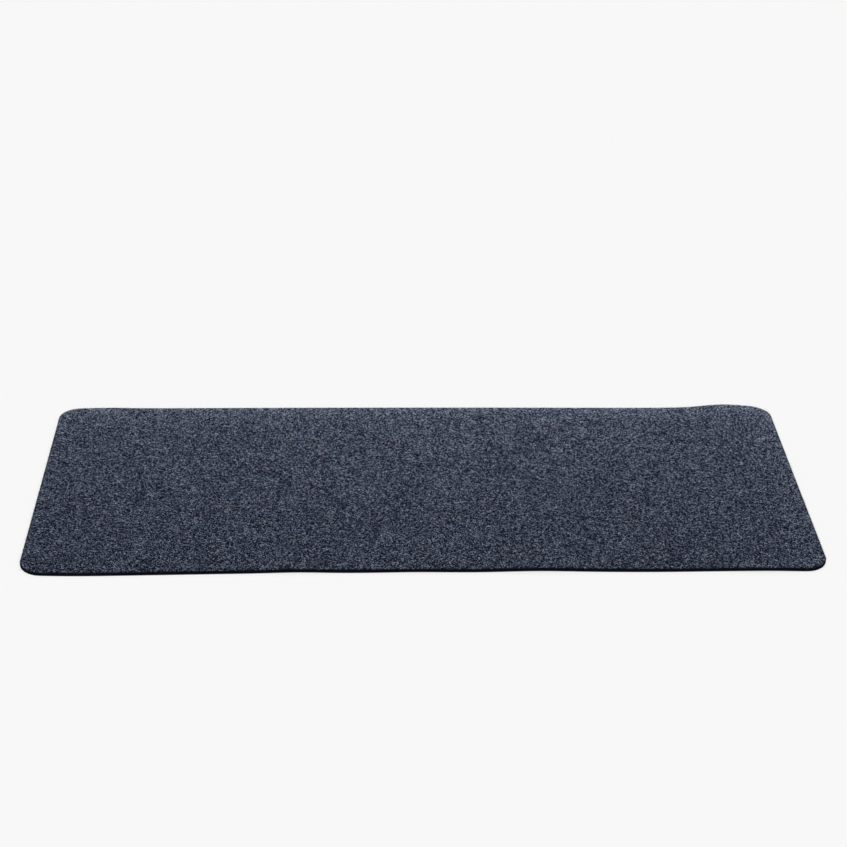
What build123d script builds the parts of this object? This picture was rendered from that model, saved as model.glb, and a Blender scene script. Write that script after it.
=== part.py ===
from build123d import *
import os

# A felt desk mat: one sheet of thick felt, laminated with a hot-melt film to a thin rubber base.
# The three layers are cut together, so they share one outline: a long rectangle with round corners.
#
# The origin is the middle of the underside. +X runs along the width, +Y from the front edge, where
# the hands rest, to the back edge, and +Z up through the layers. Lengths are in millimetres.

# The cut outline
mat_width = 900.0
mat_depth = 400.0
corner_radius = 25.0

# The layers, from the desk up
base_thickness = 0.9
film_thickness = 0.1
felt_thickness = 3.0

# The cutting die drags the felt's upper fibres down, which leaves its top edge slightly round
felt_edge_round = 0.5

# Each layer stands on the one below it
film_bottom = base_thickness
felt_bottom = film_bottom + film_thickness


def cut_outline(height):
    """The rounded rectangle that the die cuts through every layer, at the given height."""
    with BuildSketch(Plane.XY.offset(height)) as outline:
        RectangleRounded(mat_width, mat_depth, corner_radius)
    return outline.sketch


# Black rubber base, which grips the desk
with BuildPart() as rubber_base:
    extrude(cut_outline(0), amount=base_thickness)

# Hot-melt film, which holds the felt to the base over the whole outline
with BuildPart() as bonding_film:
    extrude(cut_outline(film_bottom), amount=film_thickness)

# Felt face, with its top edge rounded all the way around
with BuildPart() as felt_face:
    extrude(cut_outline(felt_bottom), amount=felt_thickness)
    fillet(felt_face.faces().sort_by(Axis.Z)[-1].edges(), radius=felt_edge_round)

rubber_base.part.label = "rubber_base"
bonding_film.part.label = "bonding_film"
felt_face.part.label = "felt_face"

os.makedirs("parts", exist_ok=True)
for layer in (rubber_base, bonding_film, felt_face):
    export_step(layer.part, f"parts/{layer.part.label}.step")
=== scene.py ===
"""Dresses a felt desk mat for a studio picture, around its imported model.

The mat is a laminate of three sheets: a heather felt, a hot-melt bonding film and a moulded rubber
base. Each sheet is one closed surface worked out with numpy over the mat's flat plan, and then laid
down: its long edges carry a few low waves, because a mat that came rolled up never lies quite flat.

Lengths are in metres. +X runs along the width, +Y from the front edge to the back edge, and +Z up.
"""

import logging
import math
from dataclasses import dataclass, field
from enum import Enum

import bpy
import numpy as np
from mathutils import Matrix, Vector


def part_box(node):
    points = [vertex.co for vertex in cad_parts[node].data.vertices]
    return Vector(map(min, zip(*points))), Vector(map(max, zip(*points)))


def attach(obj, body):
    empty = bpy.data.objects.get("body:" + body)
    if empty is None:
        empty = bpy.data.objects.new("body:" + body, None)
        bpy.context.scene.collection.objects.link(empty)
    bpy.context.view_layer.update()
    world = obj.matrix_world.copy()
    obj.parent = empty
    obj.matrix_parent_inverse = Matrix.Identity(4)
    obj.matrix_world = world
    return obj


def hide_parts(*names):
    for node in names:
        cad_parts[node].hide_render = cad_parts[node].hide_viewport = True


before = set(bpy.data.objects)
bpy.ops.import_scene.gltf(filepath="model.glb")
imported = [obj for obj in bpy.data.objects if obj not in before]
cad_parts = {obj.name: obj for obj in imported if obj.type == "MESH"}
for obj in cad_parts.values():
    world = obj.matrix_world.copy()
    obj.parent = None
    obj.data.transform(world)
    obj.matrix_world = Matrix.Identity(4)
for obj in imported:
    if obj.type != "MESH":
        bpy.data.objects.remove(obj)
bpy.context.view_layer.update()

MM = 0.001
BODY = "root"
CORNER = 25.0 * MM  # the radius that the die cuts
RIM_STEPS = 4  # rings in a rounded top edge
CUT_FADE = 0.6  # under 1, so the cut wall's near-black, which is partly painted shade, reaches well up over the rounded top edge
NOISE_SWING = 0.25  # how far a noise's value commonly strays from its middle, 0.5
RADIUS_SPREAD = (0.6, 1.4)  # the thinnest and thickest fibre, as shares of the common radius
log = logging.getLogger("desk_mat")


# ---------------------------------------------------------------- shader and mesh helpers


def linear(colour: str) -> tuple[float, float, float, float]:
    """Turns an sRGB hex colour, such as "#1b2130", to linear red, green and blue, with alpha 1."""
    parts = (int(colour[i : i + 2], 16) / 255 for i in (1, 3, 5))
    return (*(c / 12.92 if c <= 0.04045 else ((c + 0.055) / 1.055) ** 2.4 for c in parts), 1.0)


def add_node(
    tree: bpy.types.NodeTree, kind: str, settings: dict | None = None, inputs: dict | None = None
) -> bpy.types.Node:
    """Adds a node to a material's tree.

    Args:
        tree: The material's node tree.
        kind: Blender's name for the node, without its "ShaderNode".
        settings: Values of the node's own properties, such as an operation.
        inputs: For a socket's name or number, either a value or the socket that feeds it.

    Returns:
        The new node.
    """
    made = tree.nodes.new("ShaderNode" + kind)
    for name, value in (settings or {}).items():
        setattr(made, name, value)
    for socket, value in (inputs or {}).items():
        if isinstance(value, bpy.types.NodeSocket):
            tree.links.new(value, made.inputs[socket])
        else:
            made.inputs[socket].default_value = value
    return made


def set_ramp(ramp: bpy.types.Node, stops: list[tuple[float, str]]) -> bpy.types.NodeSocket:
    """Gives a colour ramp its stops.

    Args:
        ramp: The colour ramp's node.
        stops: Each stop's position, from 0 to 1, and its sRGB hex colour.

    Returns:
        The socket that gives the ramp's colour.
    """
    elements = ramp.color_ramp.elements
    while len(elements) < len(stops):
        elements.new(1.0)
    for element, (position, colour) in zip(elements, stops, strict=True):
        element.position = position
        element.color = linear(colour)
    return ramp.outputs["Color"]


def new_material(name: str) -> tuple[bpy.types.Material, bpy.types.NodeTree]:
    """Makes a material with an empty node tree.

    Args:
        name: The material's name.

    Returns:
        The material, and its node tree.
    """
    material = bpy.data.materials.new(name)
    material.use_nodes = True
    material.node_tree.nodes.clear()
    return material, material.node_tree


@dataclass
class Surface:
    """A mesh in the making: its points, its faces by number of corners, and values on its points."""

    points: np.ndarray
    faces: list[np.ndarray]
    values: dict[str, np.ndarray] = field(default_factory=dict)

    def make(self, name: str, material: bpy.types.Material) -> bpy.types.Object:
        """Makes the Blender object, at the origin, smooth, with its place in its mesh.

        Args:
            name: The name of the object and of its mesh.
            material: What the object is made of.

        Returns:
            The object.
        """
        mesh = bpy.data.meshes.new(name)
        corners = np.concatenate([f.ravel() for f in self.faces])
        counts = np.concatenate([np.full(len(f), f.shape[1]) for f in self.faces])
        mesh.vertices.add(len(self.points))
        mesh.vertices.foreach_set("co", self.points.astype(np.float32).ravel())
        mesh.loops.add(len(corners))
        mesh.loops.foreach_set("vertex_index", corners.astype(np.int32))
        mesh.polygons.add(len(counts))
        mesh.polygons.foreach_set("loop_start", (np.cumsum(counts) - counts).astype(np.int32))
        mesh.polygons.foreach_set("use_smooth", np.ones(len(counts), bool))
        mesh.update(calc_edges=True)
        for key, value in self.values.items():
            data = mesh.attributes.new(key, "FLOAT", "POINT").data
            data.foreach_set("value", value.astype(np.float32))
        mesh.materials.append(material)
        made = bpy.data.objects.new(name, mesh)
        bpy.context.scene.collection.objects.link(made)
        return made


def fit_piece(piece: bpy.types.Object, node: str) -> bpy.types.Object:
    """Lets a piece ride on the mat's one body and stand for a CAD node.

    Args:
        piece: The finished piece.
        node: The CAD node that it stands for.

    Returns:
        The same piece.
    """
    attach(piece, BODY)
    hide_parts(node)
    log.info("%s: %d faces, stands for %s", piece.name, len(piece.data.polygons), node)
    return piece


# ---------------------------------------------------------------- the plan and how it lies


@dataclass(frozen=True)
class CutOutline:
    """The rounded rectangle that the die cuts through every sheet."""

    width: float
    depth: float
    corner: float

    def lines(self, size: float, pitch: float, inset: float) -> np.ndarray:
        """Places of the grid lines across one side of the outline, pulled in by inset.

        Args:
            size: The outline's width or depth.
            pitch: The wanted distance between lines.
            inset: How far the outline is pulled in.

        Returns:
            Evenly spaced places on the straight stretch, and on each corner's stretch.
        """
        straight = size / 2 - self.corner
        inner = np.linspace(-straight, straight, round(2 * straight / pitch) + 1)
        steps = round(self.corner / pitch)
        outer = straight + (self.corner - inset) * np.arange(1, steps + 1) / steps
        return np.concatenate([-outer[::-1], inner, outer])

    def grid(self, pitch: float, inset: float = 0.0) -> tuple[np.ndarray, np.ndarray]:
        """X and Y of every grid point of the outline, pulled in by inset.

        Straight lines cross at right angles. In a corner's square the point (u, v), both from 0 to 1,
        moves to u times the root of 1 - v²/2 and v times the root of 1 - u²/2, which bends the
        square's two outer sides into one quarter circle.

        Args:
            pitch: The wanted distance between lines.
            inset: How far the outline is pulled in.

        Returns:
            X and Y, each with a row for every line across the width.
        """
        x, y = np.meshgrid(
            self.lines(self.width, pitch, inset), self.lines(self.depth, pitch, inset), indexing="ij"
        )
        radius = self.corner - inset
        start_x, start_y = self.width / 2 - self.corner, self.depth / 2 - self.corner
        u = np.clip((np.abs(x) - start_x) / radius, 0, 1)
        v = np.clip((np.abs(y) - start_y) / radius, 0, 1)
        round_x = start_x + radius * u * np.sqrt(1 - v**2 / 2)
        round_y = start_y + radius * v * np.sqrt(1 - u**2 / 2)
        return (
            np.where(u > 0, np.sign(x) * round_x, x),
            np.where(v > 0, np.sign(y) * round_y, y),
        )


def rim(rows: int, columns: int) -> np.ndarray:
    """Numbers of a grid's outermost points, once round, anticlockwise seen from above."""
    i = np.arange(rows * columns).reshape(rows, columns)
    return np.concatenate([i[:-1, 0], i[-1, :-1], i[:0:-1, -1], i[0, :0:-1]])


def grid_faces(rows: int, columns: int) -> np.ndarray:
    """The four corners of each cell of a grid of points, facing up."""
    i = np.arange(rows * columns).reshape(rows, columns)
    return np.stack([i[:-1, :-1], i[1:, :-1], i[1:, 1:], i[:-1, 1:]], axis=-1).reshape(-1, 4)


def band_faces(upper: np.ndarray, lower: np.ndarray) -> np.ndarray:
    """The faces of the band between two closed loops of points, facing outwards."""
    return np.stack([lower, np.roll(lower, -1), np.roll(upper, -1), upper], axis=-1)


def slab(
    outline: CutOutline, pitch: float, low: float, high: float, rounding: float = 0.0, drop: float = 0.0
) -> Surface:
    """A closed flat sheet: a grid on top, a wall of rings and a grid underneath.

    The top edge is a quarter ellipse: at angle a, its ring is pulled in by rounding times
    (1 - sin a) and lies drop times (1 - cos a) below the top.

    Args:
        outline: The plan that the sheet is cut to.
        pitch: The distance between grid lines.
        low: The height of the underside.
        high: The height of the top.
        rounding: How far in the top edge starts to bend.
        drop: How far down the bend goes.

    Returns:
        The surface, with a value on its points that marks the cut wall and its painted shade: 0 on top, 1 on
        the cut wall and below it, and between them a power of how far round the top edge the point is, which
        carries the painted shade up over the rounded edge.
    """
    steps = RIM_STEPS if rounding else 0
    angles = np.arange(1, steps + 1) / RIM_STEPS * math.pi / 2
    insets = [*(rounding * (1 - np.sin(angles))), 0.0, 0.0]
    heights = [*(high - drop * (1 - np.cos(angles))), (low + high - drop) / 2, low]
    x, y = outline.grid(pitch, rounding)
    rows, columns = x.shape
    edge = rim(rows, columns)
    blocks = [np.stack([x.ravel(), y.ravel(), np.full(x.size, high)], axis=-1)]
    cut_and_shade_values = [np.zeros(x.size)]
    faces = [grid_faces(rows, columns)]
    upper, count = edge, x.size
    for inset, height in zip(insets[:-1], heights[:-1], strict=True):
        ring_x, ring_y = (a.ravel()[edge] for a in outline.grid(pitch, inset))
        blocks.append(np.stack([ring_x, ring_y, np.full(len(edge), height)], axis=-1))
        reach = 1 - inset / rounding if rounding else 1.0
        # Painted shade: the cut wall's dark colour reaches up the rounded edge by this power
        cut_and_shade_values.append(np.full(len(edge), reach**CUT_FADE))
        lower = count + np.arange(len(edge))
        faces.append(band_faces(upper, lower))
        upper, count = lower, count + len(edge)
    x, y = outline.grid(pitch)
    blocks.append(np.stack([x.ravel(), y.ravel(), np.full(x.size, low)], axis=-1))
    cut_and_shade_values.append(np.ones(x.size))
    faces.append(band_faces(upper, count + edge))
    faces.append(count + grid_faces(rows, columns)[:, ::-1])
    return Surface(np.concatenate(blocks), [np.concatenate(faces)], {"cut_and_shade": np.concatenate(cut_and_shade_values)})


class Edge(Enum):
    """A long edge of the mat, as the sign of its Y."""

    FRONT = -1
    BACK = 1


@dataclass(frozen=True)
class Wave:
    """A low wave in a long edge: it lifts the edge off the desk, and draws it out or in."""

    edge: Edge
    at: float  # its middle, along X
    reach: float  # how far it spreads along the edge
    run_in: float  # how far it runs in from the edge
    lift: float = 0.0
    out: float = 0.0  # away from the mat's middle

    def share(self, x: np.ndarray, y: np.ndarray, depth: float) -> np.ndarray:
        """How strong the wave is at each point, from 0 to 1.

        Along the edge it is a bell curve. Across, it is the square of what is left of the way in,
        so that the edge curls up most and the wave ends without a crease.

        Args:
            x: The points' X.
            y: The points' Y.
            depth: The mat's depth.

        Returns:
            The share at each point.
        """
        left = np.clip(1 - (depth / 2 - self.edge.value * y) / self.run_in, 0, None)
        return np.exp(-(((x - self.at) / self.reach) ** 2)) * left**2


@dataclass(frozen=True)
class Lay:
    """How the soft mat lies on the desk."""

    outline: CutOutline
    waves: tuple[Wave, ...] = (
        Wave(Edge.FRONT, at=-0.400, reach=0.060, run_in=0.12, out=0.0022),
        Wave(Edge.FRONT, at=-0.330, reach=0.100, run_in=0.15, out=0.0028),
        Wave(Edge.FRONT, at=-0.142, reach=0.038, run_in=0.07, lift=0.0011),
        Wave(Edge.FRONT, at=-0.010, reach=0.045, run_in=0.07, lift=0.0008),
        Wave(Edge.FRONT, at=0.125, reach=0.050, run_in=0.07, lift=0.0014),
        Wave(Edge.FRONT, at=0.260, reach=0.060, run_in=0.10, out=0.0010),
        Wave(Edge.FRONT, at=0.375, reach=0.035, run_in=0.06, lift=0.0014, out=0.0022),
        Wave(Edge.FRONT, at=0.430, reach=0.030, run_in=0.06, out=0.0014),
        Wave(Edge.FRONT, at=0.080, reach=0.380, run_in=0.15, out=0.0006),
        Wave(Edge.BACK, at=-0.390, reach=0.040, run_in=0.06, lift=0.0010),
        Wave(Edge.BACK, at=-0.150, reach=0.330, run_in=0.08, lift=0.0010),
        Wave(Edge.BACK, at=0.270, reach=0.100, run_in=0.12, out=-0.0008),
        Wave(Edge.BACK, at=0.393, reach=0.037, run_in=0.09, lift=0.0043),
    )

    def place(self, points: np.ndarray) -> np.ndarray:
        """Moves points of the flat mat to where they lie: up by each wave's lift, and out.

        Args:
            points: One row per point, on the flat mat.

        Returns:
            One row per point, where it lies.
        """
        x, y, z = points.T
        up, along = np.zeros_like(z), np.zeros_like(y)
        for wave in self.waves:
            share = wave.share(x, y, self.outline.depth)
            up += wave.lift * share
            along += wave.edge.value * wave.out * share
        return np.stack([x, y + along, z + up], axis=-1)


def soft_hills(shape: tuple[int, int], pitch: float, grain: float, height: float, seed: int) -> np.ndarray:
    """A gently uneven surface: seeded white noise whose fine waves are damped by a bell curve.

    Args:
        shape: Rows and columns of the grid.
        pitch: The distance between its lines.
        grain: The size of a hill.
        height: The root mean square height.
        seed: The seed of the noise.

    Returns:
        The height at each grid point.
    """
    noise = np.random.default_rng(seed).standard_normal(shape)
    along = np.fft.fftfreq(shape[0], pitch)[:, None]
    across = np.fft.rfftfreq(shape[1], pitch)[None, :]
    damping = np.exp(-((math.pi * grain / 2) ** 2) * (along**2 + across**2))
    hills = np.fft.irfft2(np.fft.rfft2(noise) * damping, shape)
    return hills * height / hills.std()


def strands(paths: np.ndarray, radius: np.ndarray) -> Surface:
    """Three-sided fibres along their paths, closed by a point at both ends.

    Each inner point of a path carries a ring of three points: the middle, plus the radius times
    cos a sideways and sin a upwards, for three even angles a. The path's two ends are the tips.

    Args:
        paths: The paths' points, by fibre, step and axis.
        radius: Each fibre's radius.

    Returns:
        The surface, with the value "tone" on its points: one random number, 0 to 1, per fibre.
    """
    count, steps = paths.shape[:2]
    along = np.gradient(paths, axis=1)
    along /= np.linalg.norm(along, axis=-1, keepdims=True)
    side = np.cross(along, (0.0, 0.0, 1.0))
    side /= np.linalg.norm(side, axis=-1, keepdims=True)
    up = np.cross(side, along)
    angles = math.pi / 2 + np.arange(3) * math.tau / 3
    spokes = np.cos(angles)[:, None] * side[:, :, None] + np.sin(angles)[:, None] * up[:, :, None]
    rings = (paths[:, :, None] + radius[:, None, None, None] * spokes)[:, 1:-1]
    tips = paths[:, (0, -1)]
    points = np.concatenate([rings.reshape(count, -1, 3), tips], axis=1)
    own = np.arange(3 * (steps - 2)).reshape(-1, 3)
    after = np.roll(own, -1, axis=1)
    walls = np.stack([own[:-1], own[1:], after[1:], after[:-1]], axis=-1).reshape(-1, 4)
    start, end = np.full(3, own.size), np.full(3, own.size + 1)
    caps = np.concatenate(
        [np.stack([start, own[0], after[0]], axis=-1), np.stack([end, after[-1], own[-1]], axis=-1)]
    )
    first = (np.arange(count) * points.shape[1])[:, None, None]
    tone = np.random.default_rng(count).random(count)
    return Surface(
        points.reshape(-1, 3),
        [(first + walls).reshape(-1, 4), (first + caps).reshape(-1, 3)],
        {"tone": np.repeat(tone, points.shape[1])},
    )


# ---------------------------------------------------------------- finishes


@dataclass(frozen=True)
class HeatherFelt:
    """Needle-punched felt of dark navy fibre blended with pale blue-grey fibre.

    The two fibres mix without blending, so the face is a web of short pale worms on a dark ground,
    with paler and darker clouds where the blend varies. Felt is matte and a little furry, which
    gives it a soft light at grazing angles. The cut wall is painted nearly black: its fibre ends are
    dark, and painted shade is added on top, which reaches up over the rounded top edge. Painted light
    pales the face along the back rim and the sides, and painted shade darkens the front rim.

    A single fibre is about 0.03 mm thick, too fine to show, so the face is drawn in bundles as
    coarse as they need to be to show.
    """

    shades: tuple[tuple[float, str], ...] = (
        (0.0, "#070c1b"),
        (0.2, "#111a32"),
        (0.4, "#232d4a"),
        (0.6, "#434f70"),
        (0.8, "#7f8db0"),
        (1.0, "#e0e9ff"),
    )
    # Near-black of the cut wall: partly the dark fibre ends, partly painted shade
    cut_and_shade_colours: tuple[tuple[float, str], ...] = ((0.3, "#05070d"), (0.6, "#0b0f19"), (0.8, "#232a3b"))
    warm_tint: str = "#fffcfb"
    cool_tint: str = "#f3fbff"
    bundle_length: float = 2.6 * MM
    bundle_width: float = 0.9 * MM
    curl: float = 1.2 * MM
    directions: int = 3
    blend_size: float = 20.0 * MM
    dye_size: float = 14.0 * MM
    fibre_end: float = 0.5 * MM  # drawn coarse too
    bundle_detail: float = 1.0
    bundle_roughness: float = 0.6
    blend_detail: float = 3.0
    blend_limits: tuple[float, float] = (0.4, 0.6)  # the blend's thinnest and richest, as noise
    dye_detail: float = 2.0
    dye_limits: tuple[float, float] = (0.35, 0.65)  # the dye's coolest and warmest, as noise
    end_detail: float = 2.0
    middle: float = 0.312  # the shade where the streaks cancel out
    contrast: float = 5.1
    clouds: float = 0.03
    # strength of the painted rim light and the painted front-rim shade
    rim_light_and_shade_strength: float = 0.23
    roughness: float = 0.95
    diffuse_roughness: float = 0.6
    gloss: float = 0.02
    fur: float = 0.06
    fur_roughness: float = 0.5
    fur_tint: str = "#8f9ab4"
    relief: float = 0.65 * MM

    def bent_place(self, tree: bpy.types.NodeTree) -> bpy.types.NodeSocket:
        """Pushes Object coordinates about by a noise, so that straight streaks come out curly.

        Args:
            tree: The material's node tree.

        Returns:
            The bent coordinates.
        """
        place = add_node(tree, "TexCoord").outputs["Object"]
        push = add_node(tree, "TexNoise", {}, {"Vector": place, "Scale": 1 / self.bundle_length})
        centred = add_node(
            tree, "VectorMath", {"operation": "SUBTRACT"}, {0: push.outputs["Color"], 1: (0.5, 0.5, 0.5)}
        )
        reach = self.curl / NOISE_SWING
        inputs = {0: centred.outputs[0], 1: (reach, reach, 0.0), 2: place}
        return add_node(tree, "VectorMath", {"operation": "MULTIPLY_ADD"}, inputs).outputs[0]

    def streaks(
        self, tree: bpy.types.NodeTree, bent: bpy.types.NodeSocket, first: float
    ) -> bpy.types.NodeSocket:
        """The strongest, at each point, of several noises, each drawn out in its own direction.

        Each noise is also moved along, so that they don't all agree at the middle of the mat.

        Args:
            tree: The material's node tree.
            bent: The coordinates to work on.
            first: The first direction, as a share of the angle between two directions.

        Returns:
            The strongest noise's value.
        """
        strongest = None
        for step in range(self.directions):
            turn = (step + first) / self.directions
            turned = add_node(
                tree,
                "Mapping",
                {"vector_type": "TEXTURE"},
                {
                    "Vector": bent,
                    "Location": (turn, 0.0, turn),
                    "Rotation": (0.0, 0.0, math.pi * turn),
                    "Scale": (self.bundle_length, self.bundle_width, self.bundle_width),
                },
            )
            noise = {
                "Vector": turned.outputs[0],
                "Scale": 1.0,
                "Detail": self.bundle_detail,
                "Roughness": self.bundle_roughness,
            }
            bundles = add_node(tree, "TexNoise", {}, noise).outputs["Fac"]
            if strongest:
                pair = {0: strongest, 1: bundles}
                bundles = add_node(tree, "Math", {"operation": "MAXIMUM"}, pair).outputs[0]
            strongest = bundles
        return strongest

    def material(self) -> bpy.types.Material:
        """Builds the felt's material.

        One web of streaks less another gives how pale the felt is. Clouds, painted light along the back
        rim and the sides and painted shade along the front rim are added to it, a ramp turns the sum to
        shades, and the streaks alone give the relief.

        Returns:
            The material.
        """
        material, tree = new_material("needle_punched_heather_felt")
        bent = self.bent_place(tree)
        bundles = add_node(
            tree,
            "Math",
            {"operation": "SUBTRACT"},
            {0: self.streaks(tree, bent, 0.0), 1: self.streaks(tree, bent, 0.5)},
        ).outputs[0]
        pale = add_node(
            tree, "Math", {"operation": "MULTIPLY_ADD"}, {0: bundles, 1: self.contrast, 2: self.middle}
        ).outputs[0]
        place = add_node(tree, "TexCoord").outputs["Object"]
        blend = add_node(
            tree, "TexNoise", {}, {"Vector": place, "Scale": 1 / self.blend_size, "Detail": self.blend_detail}
        ).outputs["Fac"]
        clouds = add_node(
            tree,
            "MapRange",
            {"clamp": False},
            {
                "Value": blend,
                "From Min": self.blend_limits[0],
                "From Max": self.blend_limits[1],
                "To Min": -self.clouds,
                "To Max": self.clouds,
            },
        ).outputs[0]
        clouded = add_node(tree, "Math", {"operation": "ADD"}, {0: pale, 1: clouds}).outputs[0]
        # Painted light along the back rim and the sides, and painted shade along the front rim
        rim_light_and_shade = add_node(tree, "Attribute", {"attribute_name": "rim_light_and_shade"}).outputs["Fac"]
        paleness = add_node(
            tree, "Math", {"operation": "MULTIPLY_ADD"}, {0: rim_light_and_shade, 1: self.rim_light_and_shade_strength, 2: clouded}
        ).outputs[0]
        shade = set_ramp(add_node(tree, "ValToRGB", {}, {0: paleness}), list(self.shades))
        dye = add_node(
            tree, "TexNoise", {}, {"Vector": place, "Scale": 1 / self.dye_size, "Detail": self.dye_detail}
        )
        tint = set_ramp(
            add_node(tree, "ValToRGB", {}, {0: dye.outputs["Fac"]}),
            [(self.dye_limits[0], self.cool_tint), (self.dye_limits[1], self.warm_tint)],
        )
        face = add_node(
            tree, "Mix", {"data_type": "RGBA", "blend_type": "MULTIPLY"}, {0: 1.0, 6: shade, 7: tint}
        ).outputs[2]
        ends = add_node(
            tree, "TexNoise", {}, {"Vector": place, "Scale": 1 / self.fibre_end, "Detail": self.end_detail}
        )
        wall = set_ramp(add_node(tree, "ValToRGB", {}, {0: ends.outputs["Fac"]}), list(self.cut_and_shade_colours))
        # Painted shade: this mask lays the cut wall's near-black, part fibre-end colour and part painted
        # shade, on the wall and up over the rounded top edge
        cut_and_shade = add_node(tree, "Attribute", {"attribute_name": "cut_and_shade"}).outputs["Fac"]
        colour = add_node(tree, "Mix", {"data_type": "RGBA"}, {0: cut_and_shade, 6: face, 7: wall}).outputs[2]
        bump = add_node(tree, "Bump", {}, {"Height": pale, "Distance": self.relief})
        shader = add_node(
            tree,
            "BsdfPrincipled",
            {},
            {
                "Base Color": colour,
                "Roughness": self.roughness,
                "Diffuse Roughness": self.diffuse_roughness,
                "Specular IOR Level": self.gloss,
                "Sheen Weight": self.fur,
                "Sheen Roughness": self.fur_roughness,
                "Sheen Tint": linear(self.fur_tint),
                "Normal": bump.outputs[0],
            },
        )
        add_node(tree, "OutputMaterial", {}, {"Surface": shader.outputs[0]})
        return material


@dataclass(frozen=True)
class StapleFibre:
    """Crimped polyester staple fibre, dyed in the melt, lying loose on the felt.

    Every fibre has its own tone, and each is a little uneven along its length, so that even a thick
    growth of them never reads as one flat colour.
    """

    name: str
    darkest: str
    palest: str
    crimp: float = 1.5 * MM
    crimp_detail: float = 1.0
    unevenness: float = 0.4  # how much the crimp changes the tone
    darkest_tone: float = 0.2  # the tone up to which a fibre stays at its darkest
    roughness: float = 0.7
    gloss: float = 0.1

    def material(self) -> bpy.types.Material:
        """Builds the fibre's material.

        Returns:
            The material.
        """
        material, tree = new_material(self.name)
        place = add_node(tree, "TexCoord").outputs["Object"]
        crimp = add_node(
            tree, "TexNoise", {}, {"Vector": place, "Scale": 1 / self.crimp, "Detail": self.crimp_detail}
        ).outputs["Fac"]
        tone = add_node(tree, "Attribute", {"attribute_name": "tone"}).outputs["Fac"]
        mixed = add_node(
            tree, "Math", {"operation": "MULTIPLY_ADD"}, {0: crimp, 1: self.unevenness, 2: tone}
        ).outputs[0]
        colour = set_ramp(
            add_node(tree, "ValToRGB", {}, {0: mixed}),
            [(self.darkest_tone, self.darkest), (1.0, self.palest)],
        )
        shader = add_node(
            tree,
            "BsdfPrincipled",
            {},
            {"Base Color": colour, "Roughness": self.roughness, "Specular IOR Level": self.gloss},
        )
        add_node(tree, "OutputMaterial", {}, {"Surface": shader.outputs[0]})
        return material


@dataclass(frozen=True)
class HotMeltFilm:
    """Hot-melt adhesive film, calendered thin: near-black and faintly waxy where its cut edge shows."""

    colour: str = "#15161a"
    scratch: str = "#1d1f24"
    scratch_limits: tuple[float, float] = (0.3, 0.8)  # where scratches start and are full, as noise
    scratch_size: float = 3.0 * MM
    scratch_detail: float = 3.0
    roughness: float = 0.45
    ior: float = 1.49
    gloss: float = 0.2

    def material(self) -> bpy.types.Material:
        """Builds the film's material.

        Returns:
            The material.
        """
        material, tree = new_material("hot_melt_film")
        place = add_node(tree, "TexCoord").outputs["Object"]
        cloud = add_node(
            tree,
            "TexNoise",
            {},
            {"Vector": place, "Scale": 1 / self.scratch_size, "Detail": self.scratch_detail},
        )
        colour = set_ramp(
            add_node(tree, "ValToRGB", {}, {0: cloud.outputs["Fac"]}),
            [(self.scratch_limits[0], self.colour), (self.scratch_limits[1], self.scratch)],
        )
        shader = add_node(
            tree,
            "BsdfPrincipled",
            {},
            {
                "Base Color": colour,
                "Roughness": self.roughness,
                "IOR": self.ior,
                "Specular IOR Level": self.gloss,
            },
        )
        add_node(tree, "OutputMaterial", {}, {"Surface": shader.outputs[0]})
        return material


@dataclass(frozen=True)
class MouldedRubber:
    """Natural rubber, pressed in a hot mould: black and dull, with a faint bloom and a fine grit."""

    colour: str = "#0a0a0b"
    bloom: str = "#161617"
    bloom_limits: tuple[float, float] = (0.35, 0.75)  # where the bloom starts and is full, as noise
    bloom_size: float = 25.0 * MM
    bloom_detail: float = 4.0
    grit: float = 0.8 * MM
    grit_detail: float = 2.0
    grit_depth: float = 0.05 * MM
    grit_strength: float = 0.6
    roughness: float = 0.8
    gloss: float = 0.15

    def material(self) -> bpy.types.Material:
        """Builds the rubber's material.

        Returns:
            The material.
        """
        material, tree = new_material("moulded_natural_rubber")
        place = add_node(tree, "TexCoord").outputs["Object"]
        cloud = add_node(
            tree, "TexNoise", {}, {"Vector": place, "Scale": 1 / self.bloom_size, "Detail": self.bloom_detail}
        )
        grit = add_node(
            tree, "TexNoise", {}, {"Vector": place, "Scale": 1 / self.grit, "Detail": self.grit_detail}
        )
        colour = set_ramp(
            add_node(tree, "ValToRGB", {}, {0: cloud.outputs["Fac"]}),
            [(self.bloom_limits[0], self.colour), (self.bloom_limits[1], self.bloom)],
        )
        bump = add_node(
            tree,
            "Bump",
            {},
            {"Height": grit.outputs["Fac"], "Distance": self.grit_depth, "Strength": self.grit_strength},
        )
        shader = add_node(
            tree,
            "BsdfPrincipled",
            {},
            {
                "Base Color": colour,
                "Roughness": self.roughness,
                "Specular IOR Level": self.gloss,
                "Normal": bump.outputs[0],
            },
        )
        add_node(tree, "OutputMaterial", {}, {"Surface": shader.outputs[0]})
        return material


# ---------------------------------------------------------------- the sheets


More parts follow.
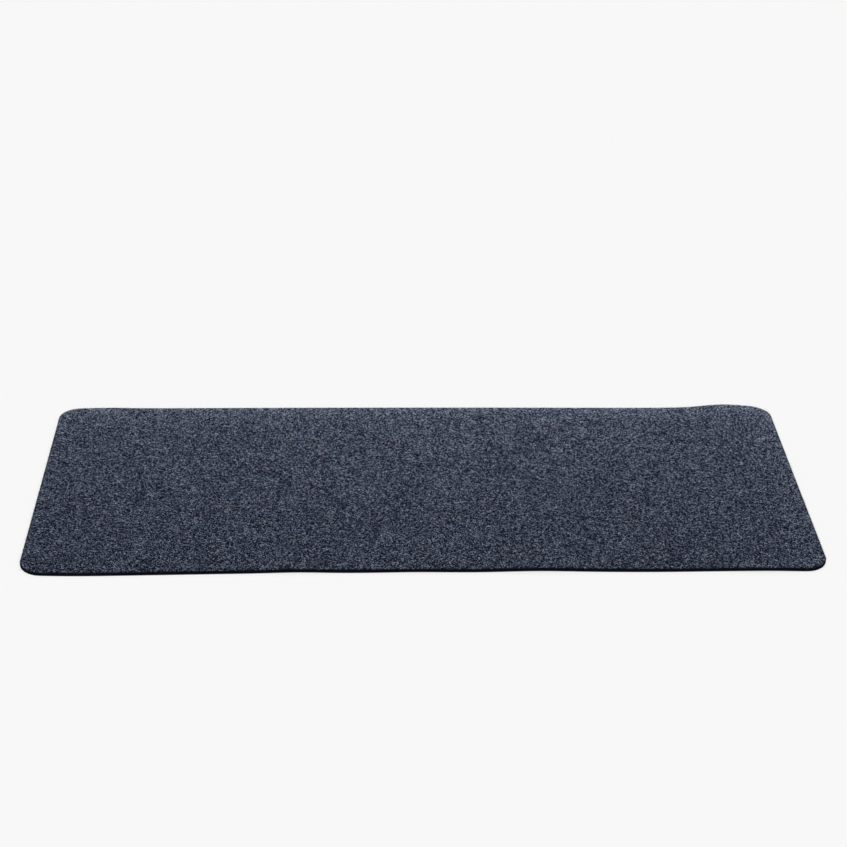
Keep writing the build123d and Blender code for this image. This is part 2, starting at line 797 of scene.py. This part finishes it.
@dataclass
class FeltFace:
    """The felt sheet: a soft upper edge, and a face that is never quite even.

    Painted light pales the face along the back rim and the sides, and painted shade darkens the
    front rim.
    """

    lay: Lay
    low: float
    high: float
    pitch: float = 3.125 * MM
    rounding: float = 2.0 * MM
    drop: float = 0.6 * MM
    hill: float = 9.0 * MM
    hill_height: float = 0.06 * MM
    back_light_reach: float = 25.0 * MM  # how far in the painted rim light runs
    right_light_reach: float = 18.0 * MM
    left_light_reach: float = 12.0 * MM
    right_share: float = 0.55  # how strong it is, against the back rim's
    left_share: float = 0.2
    front_shade_reach: float = 1.8 * MM
    front_shade_share: float = 1.2

    def rim_light_and_shade(self, points: np.ndarray) -> np.ndarray:
        """How much painted light pales the face: most along the back rim, less along the sides.

        Each rim's part falls off exponentially with the distance from it.

        Args:
            points: Points of the flat sheet.

        Returns:
            At each point, at most 1, and below 0 along the front rim, where painted shade darkens it.
        """
        outline = self.lay.outline
        back = np.exp(-(outline.depth / 2 - points[:, 1]) / self.back_light_reach)
        right = np.exp(-(outline.width / 2 - points[:, 0]) / self.right_light_reach)
        left = np.exp(-(outline.width / 2 + points[:, 0]) / self.left_light_reach)
        # Painted shade along the front rim
        front = np.exp(-(outline.depth / 2 + points[:, 1]) / self.front_shade_reach)
        rim_light_and_shade = np.clip(back + self.right_share * right + self.left_share * left, 0, 1)
        return rim_light_and_shade - self.front_shade_share * front

    def build(self, finish: HeatherFelt) -> bpy.types.Object:
        """Args:
            finish: What the sheet is made of.

        Returns:
            The piece.
        """
        outline = self.lay.outline
        surface = slab(outline, self.pitch, self.low, self.high, self.rounding, self.drop)
        top = outline.grid(self.pitch, self.rounding)[0].shape
        hills = soft_hills(top, self.pitch, self.hill, self.hill_height, seed=3)
        surface.points[: hills.size, 2] += hills.ravel()
        surface.values["rim_light_and_shade"] = self.rim_light_and_shade(surface.points)
        surface.points = self.lay.place(surface.points)
        piece = fit_piece(surface.make("heather_felt", finish.material()), "felt_face")
        return piece


@dataclass
class LooseFibres:
    """Single fibres that worked loose from the needled face and lie on it in low arches.

    They are drawn several times as thick as real ones, which would be too fine to show.
    """

    lay: Lay
    height: float
    count: int = 10000
    steps: int = 5
    length: float = 5.0 * MM
    radius: float = 0.07 * MM
    length_spread: tuple[float, float] = (0.5, 1.3)  # the shortest and longest, as shares of length
    bend: float = 1.2  # how far a fibre commonly turns along its length, in radians
    arch: float = 0.35 * MM
    buried: float = 0.12 * MM

    def paths(self, seed: int) -> np.ndarray:
        """The fibres' paths: each heads its own way and bends evenly, its ends under the surface.

        The height follows half a sine wave, from one end to the other.

        Args:
            seed: The seed of the fibres' places and shapes.

        Returns:
            Points by fibre, step and axis, on the flat mat.
        """
        outline, random = self.lay.outline, np.random.default_rng(seed)
        reach = self.length
        x = random.uniform(-1, 1, self.count) * (outline.width / 2 - reach)
        y = random.uniform(-1, 1, self.count) * (outline.depth / 2 - reach)
        share = np.linspace(0, 1, self.steps)[None, :]
        heading = random.uniform(0, math.tau, self.count)[:, None]
        bend = random.normal(0, self.bend, self.count)[:, None]
        angle = heading + bend * (share - 0.5)
        lengths = self.length * random.uniform(*self.length_spread, self.count)
        stride = (lengths / (self.steps - 1))[:, None]
        bow = np.sin(math.pi * share)
        arch = self.arch * random.random(self.count)[:, None]
        z = self.height - self.buried + arch * bow + self.buried * bow
        return np.stack(
            [
                x[:, None] + np.cumsum(stride * np.cos(angle), axis=1),
                y[:, None] + np.cumsum(stride * np.sin(angle), axis=1),
                z,
            ],
            axis=-1,
        )

    def build(self, name: str, finish: StapleFibre, seed: int) -> bpy.types.Object:
        """Makes one piece of loose fibres.

        Args:
            name: The piece's name.
            finish: What the fibres are made of.
            seed: The seed of the fibres' places and shapes.

        Returns:
            The piece.
        """
        random = np.random.default_rng(seed + 1)
        surface = strands(self.paths(seed), self.radius * random.uniform(*RADIUS_SPREAD, self.count))
        surface.points = self.lay.place(surface.points)
        return fit_piece(surface.make(name, finish.material()), "felt_face")


@dataclass
class RimFuzz:
    """Fibre ends that stick out of the felt's cut rim, all the way round, drawn thick to show."""

    lay: Lay
    height: float
    count: int = 9000
    pitch: float = 1.0 * MM
    length: float = 0.9 * MM
    radius: float = 0.045 * MM
    sunk: float = 0.4 * MM
    sideways: float = 0.7  # how far an end commonly turns from straight out, in radians
    lowest: float = -0.2  # the slope of the lowest, in radians
    steepest: float = math.radians(70)
    evenness: float = 3.0  # of the lengths: the shape of their gamma distribution
    shares: tuple[float, ...] = (0.0, 0.4, 0.75, 1.0)  # of the length, at each point of the path
    droop: float = 0.4  # how much of its rise an end loses by its tip

    def paths(self, seed: int) -> np.ndarray:
        """The ends' paths: straight out of the rim, then drooping a little, spread to both sides.

        Args:
            seed: The seed of the ends' places and shapes.

        Returns:
            Points by fibre, step and axis, on the flat mat.
        """
        random = np.random.default_rng(seed)
        x, y = self.lay.outline.grid(self.pitch, self.sunk / 2)
        edge = rim(*x.shape)
        loop = np.column_stack([x.ravel()[edge], y.ravel()[edge]])
        step = np.roll(loop, -1, axis=0) - loop
        gaps = np.hypot(*step.T)
        first = random.choice(len(loop), self.count, p=gaps / gaps.sum())
        root = loop[first] + random.random(self.count)[:, None] * step[first]
        heading = np.arctan2(step[first, 1], step[first, 0]) - math.pi / 2
        heading += random.normal(0, self.sideways, self.count)
        rise = random.uniform(self.lowest, self.steepest, self.count)
        share = np.array(self.shares)[None, :]
        lengths = self.length * random.gamma(self.evenness, 1 / self.evenness, self.count)
        run = lengths[:, None] * share
        low = self.height - self.sunk * random.random(self.count) ** 2
        return np.stack(
            [
                root[:, :1] + run * (np.cos(rise) * np.cos(heading))[:, None],
                root[:, 1:] + run * (np.cos(rise) * np.sin(heading))[:, None],
                low[:, None] + run * np.sin(rise)[:, None] * (1 - self.droop * share),
            ],
            axis=-1,
        )

    def build(self, name: str, finish: StapleFibre, seed: int) -> bpy.types.Object:
        """Makes the rim's fuzz in one piece.

        Args:
            name: The piece's name.
            finish: What the fibre ends are made of.
            seed: The seed of the ends' places and shapes.

        Returns:
            The piece.
        """
        random = np.random.default_rng(seed + 1)
        surface = strands(self.paths(seed), self.radius * random.uniform(*RADIUS_SPREAD, self.count))
        surface.points = self.lay.place(surface.points)
        return fit_piece(surface.make(name, finish.material()), "felt_face")


@dataclass
class BondingFilm:
    """The film that holds the felt to the base."""

    lay: Lay
    low: float
    high: float
    pitch: float = 6.25 * MM

    def build(self, finish: HotMeltFilm) -> bpy.types.Object:
        """Makes the film and lays it down.

        Args:
            finish: What the film is made of.

        Returns:
            The piece.
        """
        surface = slab(self.lay.outline, self.pitch, self.low, self.high)
        surface.points = self.lay.place(surface.points)
        return fit_piece(surface.make("hot_melt_film", finish.material()), "bonding_film")


@dataclass
class RubberBase:
    """The rubber base, raised by the height of the grip domes that it stands on."""

    lay: Lay
    low: float
    high: float
    pitch: float = 6.25 * MM
    grip_height: float = 0.25 * MM

    def build(self, finish: MouldedRubber) -> bpy.types.Object:
        """Makes the base and lays it down.

        Args:
            finish: What the base is made of.

        Returns:
            The piece.
        """
        surface = slab(self.lay.outline, self.pitch, self.low + self.grip_height, self.high)
        surface.points = self.lay.place(surface.points)
        return fit_piece(surface.make("moulded_base", finish.material()), "rubber_base")


@dataclass
class GripDots:
    """Low rubber domes moulded on the base's underside in staggered rows, to grip the desk."""

    lay: Lay
    low: float
    height: float = 0.25 * MM
    pitch: float = 8.0 * MM
    radius: float = 2.0 * MM
    margin: float = 6.0 * MM
    sides: int = 10
    sunk_share: float = 1.2  # of the height: where the lid lies, inside the base
    shoulder_radius: float = 0.7  # as a share of the radius
    shoulder_height: float = 0.25  # as a share of the height

    def middles(self, side: int) -> np.ndarray:
        """X and Y of every dome on one half of the mat: those well inside the outline.

        Rows lie half the root of 3 pitches apart, and every other row is moved by half a pitch.

        Args:
            side: The half, as the sign of its X.

        Returns:
            One row per dome.
        """
        outline = self.lay.outline
        row_gap = self.pitch * math.sqrt(3) / 2
        last_row = int(outline.depth / 2 / row_gap)
        last_column = int(outline.width / 2 / self.pitch)
        rows = np.arange(-last_row, last_row + 1)
        columns = np.arange(-last_column, last_column + 1)
        row, column = (a.ravel() for a in np.meshgrid(rows, columns, indexing="ij"))
        spots = np.column_stack([(column + 0.25 + 0.5 * (row % 2)) * self.pitch, row * row_gap])
        room = np.array([outline.width, outline.depth]) / 2 - outline.corner
        over = np.hypot(*np.clip(np.abs(spots) - room, 0, None).T)
        return spots[(over < outline.corner - self.margin) & (np.sign(spots[:, 0]) == side)]

    def build(self, name: str, finish: MouldedRubber, side: int) -> bpy.types.Object:
        """Makes one half's domes: each has a lid sunk in the base, a shoulder ring and a tip.

        Args:
            name: The piece's name.
            finish: What the domes are made of.
            side: The half, as the sign of its X.

        Returns:
            The piece.
        """
        spots = self.middles(side)
        angles = np.arange(self.sides) * math.tau / self.sides
        circle = np.column_stack([np.cos(angles), np.sin(angles), np.zeros(self.sides)])
        top = circle * self.radius + (0, 0, self.low + self.sunk_share * self.height)
        shoulder = circle * self.shoulder_radius * self.radius
        shoulder += (0, 0, self.low + self.shoulder_height * self.height)
        dome = np.concatenate([top, shoulder, [(0, 0, self.low)]])
        points = dome[None] + np.pad(spots, ((0, 0), (0, 1)))[:, None]
        lid = np.arange(self.sides)
        tip = np.full(self.sides, 2 * self.sides)
        fan = np.stack([lid + self.sides, tip, np.roll(lid, -1) + self.sides], axis=-1)
        first = (np.arange(len(spots)) * len(dome))[:, None, None]
        parts = (lid[None], band_faces(lid, lid + self.sides), fan)
        faces = [(first + part).reshape(-1, part.shape[-1]) for part in parts]
        surface = Surface(self.lay.place(points.reshape(-1, 3)), faces)
        return fit_piece(surface.make(name, finish.material()), "rubber_base")


# ---------------------------------------------------------------- the studio


@dataclass(frozen=True)
class Studio:
    """A white floor swept up into a round wall, an even sky, two lamps and the camera.

    The floor glows, and a bank of lamps overhead lights it and nothing else. A soft box behind the
    mat lights the mat alone.
    """

    floor_reach: float = 12.0
    flat_share: float = 0.99  # of the reach: where the flat disc ends and the first band starts
    floor_sides: int = 96
    sweep: float = 3.0
    sweep_lines: int = 17
    wall_height: float = 3.5
    table_colour: str = "#797979"
    table_glow: float = 0.74
    camera_place: tuple[float, float, float] = (-0.076, -2.213, 1.2107)
    camera_aim: tuple[float, float, float] = (0.008, 0.164, 0.0)
    camera_roll: float = math.radians(0.76)
    lens_mm: float = 90.0
    farthest: float = 100.0
    sky_strength: float = 0.2
    bank_place: tuple[float, float, float] = (0.0, 0.0, 3.0)
    bank_angle: float = math.radians(120)
    box_place: tuple[float, float, float] = (0.35, 1.4, 0.85)
    box_aim: tuple[float, float, float] = (0.0, 0.1, 0.0)
    box_size: tuple[float, float] = (1.5, 0.75)
    box_watts: float = 38.5

    def floor(self, height: float) -> bpy.types.Object:
        """Lays the white acrylic floor, lit from below, that the mat stands on.

        Its profile runs flat from the middle out, then up a quarter circle, then straight up: at
        angle a it is sweep times sin a further out, and sweep times (1 - cos a) higher.

        Args:
            height: The height that the mat stands at.

        Returns:
            The floor, with its wall.
        """
        bend = np.linspace(0, math.pi / 2, self.sweep_lines)
        out = self.floor_reach + self.sweep * np.sin(bend)
        up = self.sweep * (1 - np.cos(bend))
        profile_out = np.concatenate([[self.flat_share * self.floor_reach], out, out[-1:]])
        profile_up = np.concatenate([[0.0], up, [self.wall_height]])
        turns = np.linspace(0, math.tau, self.floor_sides, endpoint=False)
        points = np.stack(
            [
                np.outer(profile_out, np.cos(turns)),
                np.outer(profile_out, np.sin(turns)),
                np.repeat(height + profile_up[:, None], len(turns), axis=1),
            ],
            axis=-1,
        )
        loops = np.arange(points.size // 3).reshape(points.shape[:2])
        bands = [band_faces(inner, outer) for inner, outer in zip(loops[:-1], loops[1:], strict=True)]
        material, tree = new_material("opal_acrylic")
        shader = add_node(
            tree,
            "BsdfPrincipled",
            {},
            {
                "Base Color": linear(self.table_colour),
                "Roughness": 1.0,
                "Specular IOR Level": 0.0,
                "Emission Color": (1.0, 1.0, 1.0, 1.0),
                "Emission Strength": self.table_glow,
            },
        )
        add_node(tree, "OutputMaterial", {}, {"Surface": shader.outputs[0]})
        surface = Surface(points.reshape(-1, 3), [loops[:1], np.concatenate(bands)])
        table = surface.make("light_table", material)
        return table

    def sky(self) -> None:
        """Surrounds everything with an even white sky."""
        world = bpy.data.worlds.new("white_sky")
        world.use_nodes = True
        world.node_tree.nodes["Background"].inputs["Color"].default_value = (1, 1, 1, 1)
        world.node_tree.nodes["Background"].inputs["Strength"].default_value = self.sky_strength
        bpy.context.scene.world = world

    def lamp(
        self, data: bpy.types.Light, place: Vector, aim: Vector, lit: list[bpy.types.Object]
    ) -> None:
        """Hangs a lamp that lights only the given objects, although everything casts shadows in it.

        Args:
            data: The lamp's light.
            place: Where it hangs.
            aim: The point that it faces.
            lit: The objects that it lights.
        """
        made = bpy.data.objects.new(data.name, data)
        made.location = place
        made.rotation_euler = (aim - place).to_track_quat("-Z", "Y").to_euler()
        bpy.context.scene.collection.objects.link(made)
        receivers = bpy.data.collections.new(data.name + "_receivers")
        for item in lit:
            receivers.objects.link(item)
        made.light_linking.receiver_collection = receivers

    def light(self, table: bpy.types.Object, pieces: list[bpy.types.Object]) -> None:
        """Lights the table evenly from above, and the mat by a soft box behind it.

        Args:
            table: The floor that the mat stands on.
            pieces: The mat's pieces.
        """
        self.sky()
        overhead = bpy.data.lights.new("overhead_bank", "SUN")
        overhead.angle = self.bank_angle
        overhead.energy = math.pi * (1 - self.sky_strength)
        self.lamp(overhead, Vector(self.bank_place), Vector(), [table])
        box = bpy.data.lights.new("back_soft_box", "AREA")
        box.shape = "RECTANGLE"
        box.size, box.size_y = self.box_size
        box.energy = self.box_watts
        self.lamp(box, Vector(self.box_place), Vector(self.box_aim), pieces)

    def camera(self) -> None:
        """Sets up the camera, rolled about its own line of sight."""
        data = bpy.data.cameras.new("camera")
        data.lens = self.lens_mm
        data.clip_end = self.farthest
        made = bpy.data.objects.new("camera", data)
        sight = Vector(self.camera_aim) - Vector(self.camera_place)
        turn = sight.to_track_quat("-Z", "Y").to_matrix().to_4x4()
        made.matrix_world = (
            Matrix.Translation(self.camera_place) @ turn @ Matrix.Rotation(self.camera_roll, 4, "Z")
        )
        bpy.context.scene.collection.objects.link(made)
        bpy.context.scene.camera = made


def main() -> None:
    """Builds the mat from the desk up, then the studio round it."""
    logging.basicConfig(level=logging.INFO, format="%(name)s: %(message)s")
    base_low, base_high = (corner.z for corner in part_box("rubber_base"))
    felt_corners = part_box("felt_face")
    size = felt_corners[1] - felt_corners[0]
    outline = CutOutline(width=size.x, depth=size.y, corner=CORNER)
    lay = Lay(outline)
    pieces = [
        RubberBase(lay, base_low, base_high).build(MouldedRubber()),
        BondingFilm(lay, base_high, felt_corners[0].z).build(HotMeltFilm()),
        FeltFace(lay, felt_corners[0].z, felt_corners[1].z).build(HeatherFelt()),
    ]
    loose = LooseFibres(lay, felt_corners[1].z)
    pale = StapleFibre("pale_blue_grey_staple", "#7486aa", "#e8f0ff")
    mixed = StapleFibre("mixed_staple", "#0c1120", "#4a546c")
    navy = StapleFibre("navy_staple", "#060a16", "#1c2438")
    tufts = LooseFibres(lay, felt_corners[1].z, count=2800, length=6.0 * MM, radius=0.13 * MM)
    pieces.append(tufts.build("loose_pale_fibres", pale, seed=11))
    pieces.append(loose.build("loose_navy_fibres_1", navy, seed=23))
    pieces.append(loose.build("loose_navy_fibres_2", navy, seed=37))
    fuzz = RimFuzz(lay, felt_corners[1].z)
    pieces.append(fuzz.build("rim_fuzz", mixed, seed=51))
    dots = GripDots(lay, base_low)
    pieces.append(dots.build("grip_dots_left", MouldedRubber(), side=-1))
    pieces.append(dots.build("grip_dots_right", MouldedRubber(), side=1))
    studio = Studio()
    studio.light(studio.floor(base_low), pieces)
    studio.camera()
    bpy.context.scene.view_settings.view_transform = "Standard"


if __name__ == "__main__":
    main()
